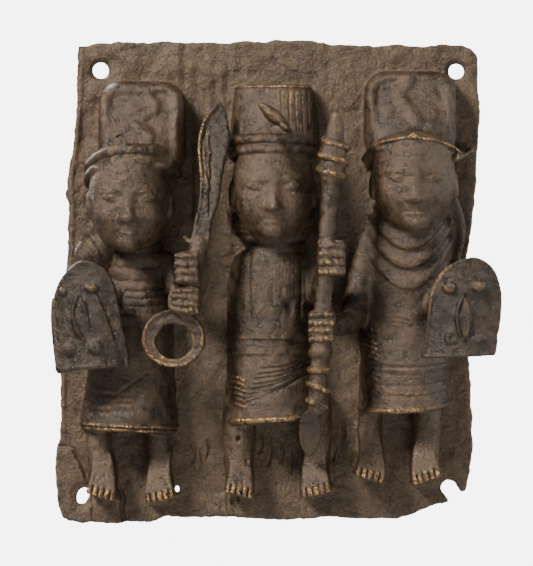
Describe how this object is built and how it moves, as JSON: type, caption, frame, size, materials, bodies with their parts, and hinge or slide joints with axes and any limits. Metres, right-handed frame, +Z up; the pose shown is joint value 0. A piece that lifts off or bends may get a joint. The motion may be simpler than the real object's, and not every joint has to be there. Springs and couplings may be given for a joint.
{
  "type": "relief plaque",
  "caption": "Small cast brass relief plaque: figures in tall headdresses with shields, a ring-hilted sword and a staff on a plate pierced for nails.",
  "frame": {"origin": "centre of the flat back of the plate, where it lies against the wall", "axes": "+X to the viewer's right, +Z up, +Y into the wall; the figures stand out towards -Y"},
  "size_m": [0.1828, 0.0423, 0.2005],
  "materials": {
    "brass": "dark brown patina with tan dust in the hollows and worn golden edges"
  },
  "bodies": {
    "root": {"plaque": "brass"}
  },
  "joints": []
}
